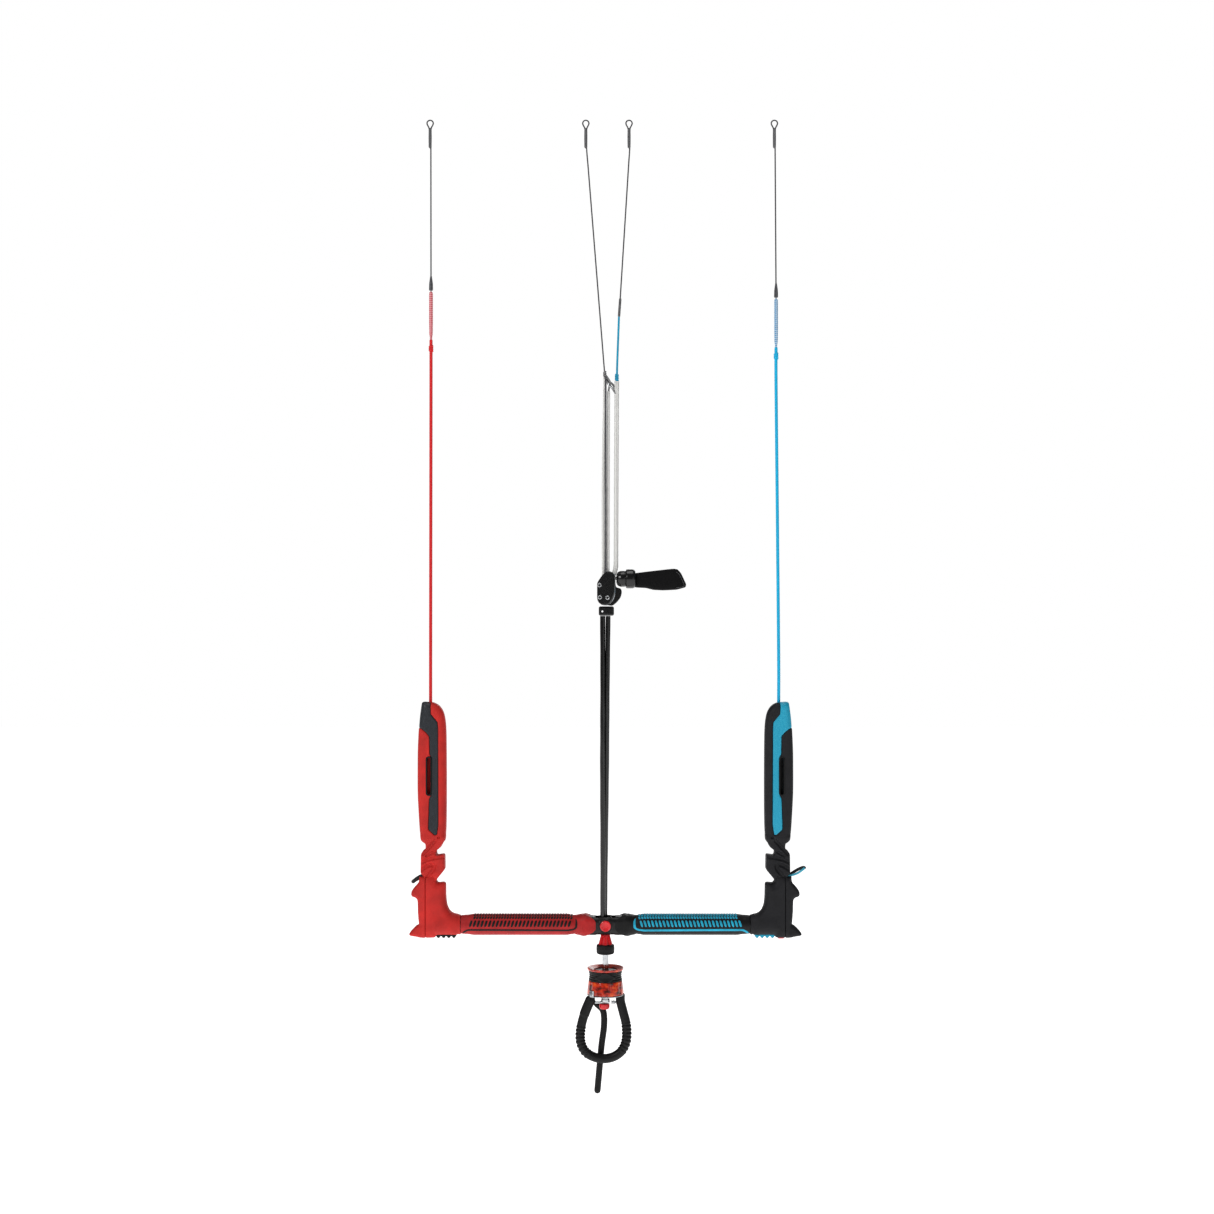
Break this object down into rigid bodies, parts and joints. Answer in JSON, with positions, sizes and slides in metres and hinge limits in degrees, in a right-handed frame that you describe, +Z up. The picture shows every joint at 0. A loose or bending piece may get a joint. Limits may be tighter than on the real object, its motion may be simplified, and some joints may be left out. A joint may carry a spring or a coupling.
{
  "type": "kitesurf control bar",
  "caption": "Control bar of a kitesurf kite: grips with floating winder ends, flying lines, trim cleat, depower line, push-away quick release and chicken loop.",
  "frame": {"origin": "between the sewn loops at the top of the two front lines, level with the top of the loops", "axes": "+X along the bar to the rider's right, +Y away from the rider, +Z up the lines towards the kite"},
  "size_m": [0.5036, 0.047, 1.2394],
  "materials": {
    "flying_line": "braided line, satin",
    "safety_cord": "braided line, satin",
    "red_line": "braided line, satin",
    "blue_line": "braided line, satin",
    "red_sleeve": "chequered braid, matt",
    "blue_sleeve": "chequered braid, matt",
    "trim_rope": "white braid with a black herringbone fleck",
    "bungee_black": "braided elastic",
    "bungee_blue": "braided elastic",
    "steel": "brushed",
    "cleat_black": "black anodised, satin",
    "coated_line": "smooth urethane coating",
    "black_plastic": "fine moulded texture",
    "red_plastic": "smooth moulded",
    "clear_red": "translucent, marbled",
    "black_rubber": "soft touch",
    "red_rubber": "soft touch",
    "teal_rubber": "soft touch",
    "red_foam": "moulded EVA foam, fine grain",
    "black_foam": "moulded EVA foam, fine grain",
    "black_insert": "denser EVA, speckled",
    "teal_insert": "denser EVA, speckled",
    "bar_tube": "black anodised tube",
    "webbing": "padded woven fabric, stitched",
    "spring_steel": "bright wire"
  },
  "bodies": {
    "line_head": {"front_line_left": "flying_line", "front_line_right": "flying_line", "safety_leader": "safety_cord", "trim_ring": "steel", "trim_line_left": "trim_rope", "trim_line_middle": "trim_rope", "trim_line_right": "trim_rope", "safety_line": "flying_line"},
    "centre_line": {"cleat_plate_front": "cleat_black", "cleat_frame": "steel", "cleat_plate_back": "cleat_black", "cleat_rivet_1": "steel", "cleat_rivet_2": "steel", "cleat_rivet_3": "steel", "depower_collar": "black_plastic", "depower_line": "coated_line", "safety_tube": "coated_line", "bumper_cone": "red_plastic", "bumper_ring": "black_rubber", "swivel_shaft": "steel"},
    "trim_toggle": {"stopper_ball": "black_plastic", "trim_handle": "webbing"},
    "hub_slider": {"hub_insert": "black_plastic"},
    "bar": {"bar_hub": "black_plastic", "hub_cap_front": "red_plastic", "hub_cap_back": "red_plastic", "bar_tube_left": "bar_tube", "bar_tube_right": "bar_tube", "grip_left": "red_rubber", "grip_right": "black_rubber"},
    "release_body": {"release_core": "black_plastic", "cradle_plate": "steel", "cradle_rivet": "steel", "gate_arm": "steel", "release_plug": "red_plastic", "release_spring": "spring_steel"},
    "release_sleeve": {"release_sleeve": "clear_red", "sleeve_grip": "black_rubber"},
    "gate_pin": {"gate_pin": "steel"},
    "chicken_loop": {"chicken_loop": "black_rubber"},
    "chicken_stick": {"chicken_stick": "black_rubber"},
    "bar_end_left": {"bar_end_left": "red_rubber", "line_winder_left": "red_rubber", "bungee_left": "bungee_black"},
    "thumb_tab_left": {"width_tab_left": "black_rubber"},
    "float_left": {"float_shell_left": "red_foam", "float_insert_left": "black_insert", "leader_line_left": "red_line", "pigtail_sleeve_left": "red_sleeve", "back_line_left": "flying_line"},
    "bar_end_right": {"bar_end_right": "black_rubber", "line_winder_right": "black_rubber", "bungee_right": "bungee_blue", "lock_button_right": "red_plastic"},
    "thumb_tab_right": {"width_tab_right": "teal_rubber"},
    "float_right": {"float_shell_right": "black_foam", "float_insert_right": "teal_insert", "leader_line_right": "blue_line", "pigtail_sleeve_right": "blue_sleeve", "back_line_right": "flying_line"}
  },
  "joints": [
    {"name": "trim_pull", "type": "slide", "parent": "line_head", "child": "centre_line", "axis": [0, 0, 1], "range_m": [0, 0.15], "deforming": ["trim_line_left", "trim_line_middle", "trim_line_right", "safety_line"]},
    {"name": "trim_handle_pull", "type": "slide", "parent": "centre_line", "child": "trim_toggle", "axis": [0.6, -0.8, 0], "range_m": [0, 0.3]},
    {"name": "bar_slide", "type": "slide", "parent": "centre_line", "child": "hub_slider", "axis": [0, 0, 1], "range_m": [0, 0.35]},
    {"name": "bar_tilt", "type": "hinge", "parent": "hub_slider", "child": "bar", "pos_m": [0, 0, -1.022], "axis": [0, 1, 0], "range_deg": [-20, 20]},
    {"name": "swivel_spin", "type": "hinge", "parent": "centre_line", "child": "release_body", "pos_m": [0, 0, -1.082], "axis": [0, 0, 1], "continuous": true},
    {"name": "sleeve_release", "type": "slide", "parent": "release_body", "child": "release_sleeve", "axis": [0, 0, 1], "range_m": [0, 0.012], "stiffness_N_per_m": 400, "deforming": ["release_spring"]},
    {"name": "loop_open", "type": "hinge", "parent": "release_body", "child": "chicken_loop", "pos_m": [-0.0193, 0, -1.118], "axis": [0, 1, 0], "range_deg": [0, 75]},
    {"name": "gate_pin_swing", "type": "hinge", "parent": "release_body", "child": "gate_pin", "pos_m": [0.0098, 0, -1.121], "axis": [0, 1, 0], "range_deg": [0, 45]},
    {"name": "stick_swing", "type": "hinge", "parent": "chicken_loop", "child": "chicken_stick", "pos_m": [-0.0193, 0, -1.122], "axis": [0, 0, 1], "range_deg": [0, 60]},
    {"name": "width_left", "type": "slide", "parent": "bar", "child": "bar_end_left", "axis": [-1, 0, 0], "range_m": [0, 0.025]},
    {"name": "tab_press_left", "type": "slide", "parent": "bar_end_left", "child": "thumb_tab_left", "axis": [1, 0, 0], "range_m": [0, 0.004], "stiffness_N_per_m": 500},
    {"name": "float_flex_left", "type": "hinge", "parent": "bar_end_left", "child": "float_left", "pos_m": [-0.219, 0, -0.952], "axis": [0, 1, 0], "range_deg": [-20, 20]},
    {"name": "width_right", "type": "slide", "parent": "bar", "child": "bar_end_right", "axis": [1, 0, 0], "range_m": [0, 0.025]},
    {"name": "tab_press_right", "type": "slide", "parent": "bar_end_right", "child": "thumb_tab_right", "axis": [-1, 0, 0], "range_m": [0, 0.004], "stiffness_N_per_m": 500},
    {"name": "float_flex_right", "type": "hinge", "parent": "bar_end_right", "child": "float_right", "pos_m": [0.219, 0, -0.952], "axis": [0, 1, 0], "range_deg": [-20, 20]}
  ],
  "couplings": [
    {"joint": "trim_handle_pull", "follows": "trim_pull", "ratio": 2},
    {"joint": "gate_pin_swing", "follows": "loop_open", "ratio": 0.6},
    {"joint": "float_flex_left", "follows": "bar_tilt", "ratio": -1},
    {"joint": "float_flex_right", "follows": "bar_tilt", "ratio": -1}
  ]
}
